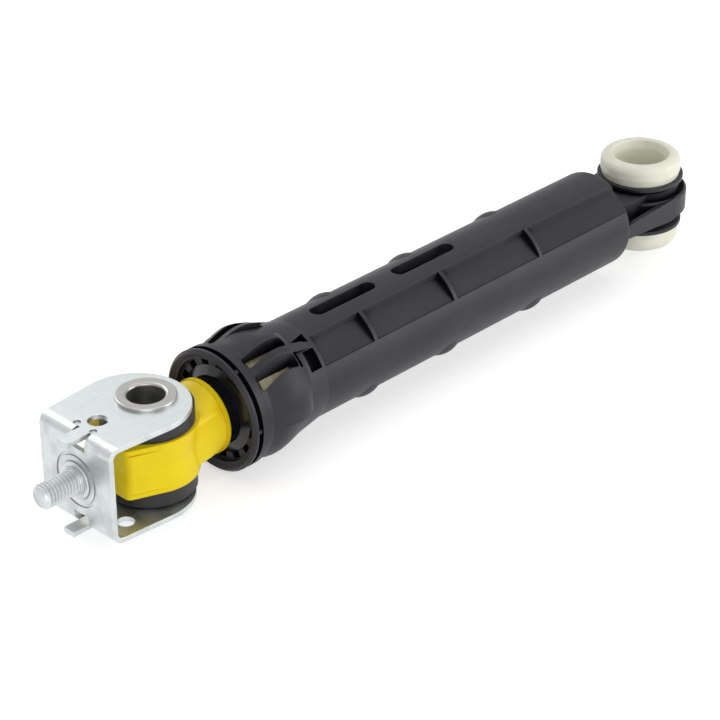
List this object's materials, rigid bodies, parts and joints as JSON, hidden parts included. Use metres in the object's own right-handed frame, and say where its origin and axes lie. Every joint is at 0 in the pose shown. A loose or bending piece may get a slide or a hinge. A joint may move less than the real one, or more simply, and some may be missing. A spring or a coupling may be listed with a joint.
{
  "type": "washing machine shock absorber",
  "caption": "Friction damper of a washing machine: folded steel bracket with stud, yellow plunger, ribbed black barrel with a slotted bulged head and a bushed far eye.",
  "frame": {"origin": "middle of the hollow pivot in the bracket, halfway between its two ears", "axes": "+X along the damper from the bracket pivot to the far eye, +Z along both pivots away from the ear with two holes, +Y across"},
  "size_m": [0.3588, 0.053, 0.0514],
  "materials": {
    "zinc_steel": "satin",
    "black_plastic": "satin",
    "yellow_plastic": "gloss",
    "black_rubber": "matte",
    "cream_rubber": "matte",
    "lining_foam": "matte"
  },
  "bodies": {
    "bracket": {"bracket": "zinc_steel", "mounting_stud": "zinc_steel", "pivot_sleeve": "zinc_steel"},
    "plunger": {"plunger": "yellow_plastic", "plunger_stem": "black_plastic", "upper_rubber_bush": "black_rubber", "lower_rubber_bush": "black_rubber", "stop_ring": "zinc_steel", "stop_buffer": "black_rubber"},
    "lining": {"friction_lining": "lining_foam", "lining_cage": "black_plastic"},
    "barrel": {"barrel": "black_plastic", "guide_ring": "black_plastic", "wiper_ring": "black_rubber", "upper_eye_bush": "cream_rubber", "lower_eye_bush": "cream_rubber"}
  },
  "joints": [
    {"name": "pivot_turn", "type": "hinge", "parent": "bracket", "child": "plunger", "pos_m": [0, 0, 0], "axis": [0, 0, 1], "range_deg": [-90, 90]},
    {"name": "stroke", "type": "slide", "parent": "plunger", "child": "lining", "axis": [1, 0, 0], "range_m": [0, 0.09]},
    {"name": "barrel_twist", "type": "hinge", "parent": "lining", "child": "barrel", "pos_m": [0, 0, 0], "axis": [1, 0, 0], "continuous": true}
  ]
}
